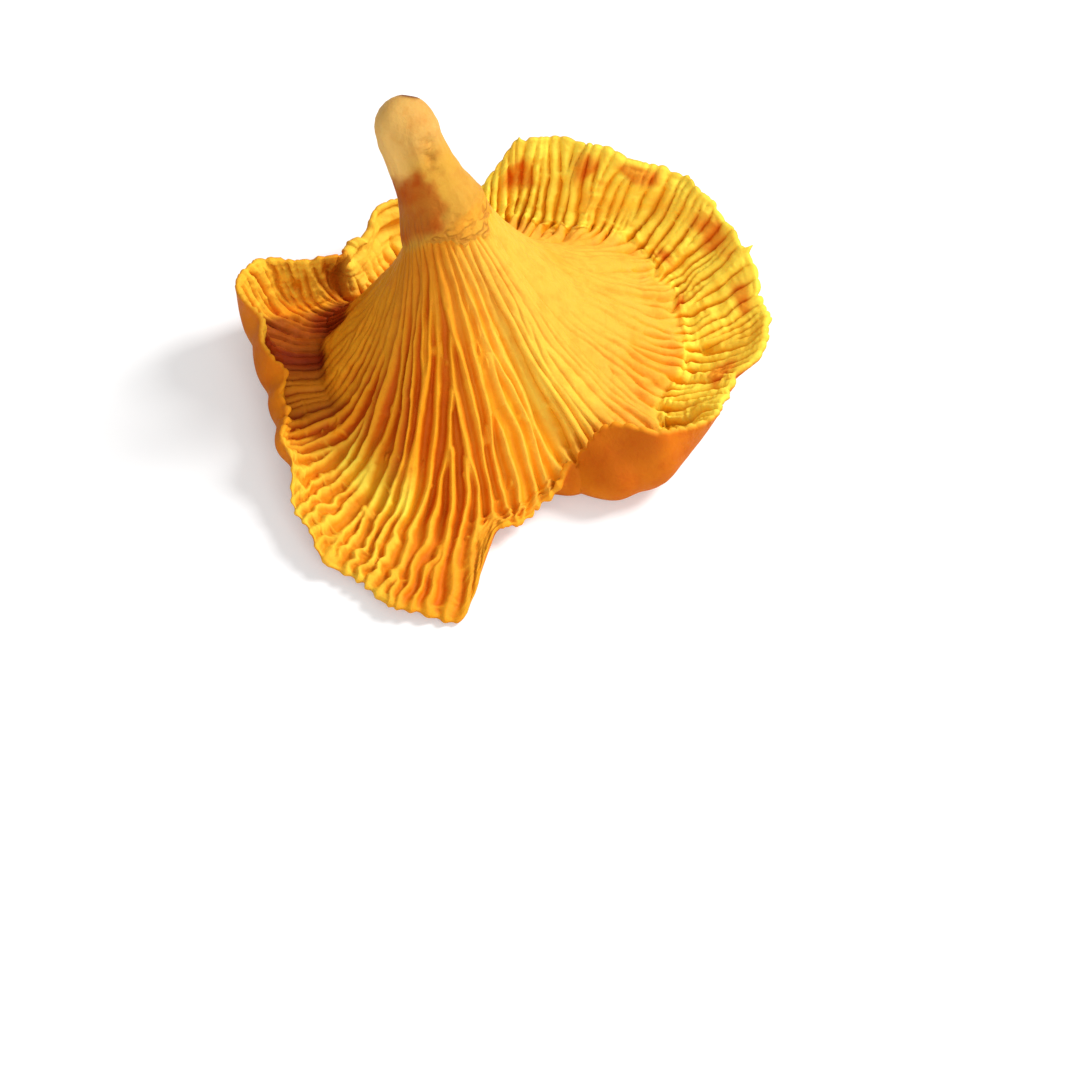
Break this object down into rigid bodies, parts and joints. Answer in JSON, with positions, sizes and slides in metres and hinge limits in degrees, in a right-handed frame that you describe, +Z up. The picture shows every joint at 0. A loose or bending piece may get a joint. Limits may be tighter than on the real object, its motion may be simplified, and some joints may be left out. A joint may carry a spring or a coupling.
{
  "type": "chanterelle mushroom",
  "caption": "Whole chanterelle laid cap down: bent stem, funnel of forked gill folds running down it, wavy upturned lobed brim, smooth hollow cap.",
  "frame": {"origin": "middle of the bounding box, on the surface that the cap rests on", "axes": "+Z up, from the cap that lies below to the stem's cut foot; +X towards the broad side of the brim; -Y towards the long tongue of the brim"},
  "size_m": [0.0798, 0.081, 0.05],
  "materials": {
    "flesh": "matte, slightly waxy yellow-orange mushroom flesh, deeper orange between the gill folds and paler towards the cut foot"
  },
  "bodies": {
    "root": {"chanterelle": "flesh"}
  },
  "joints": []
}
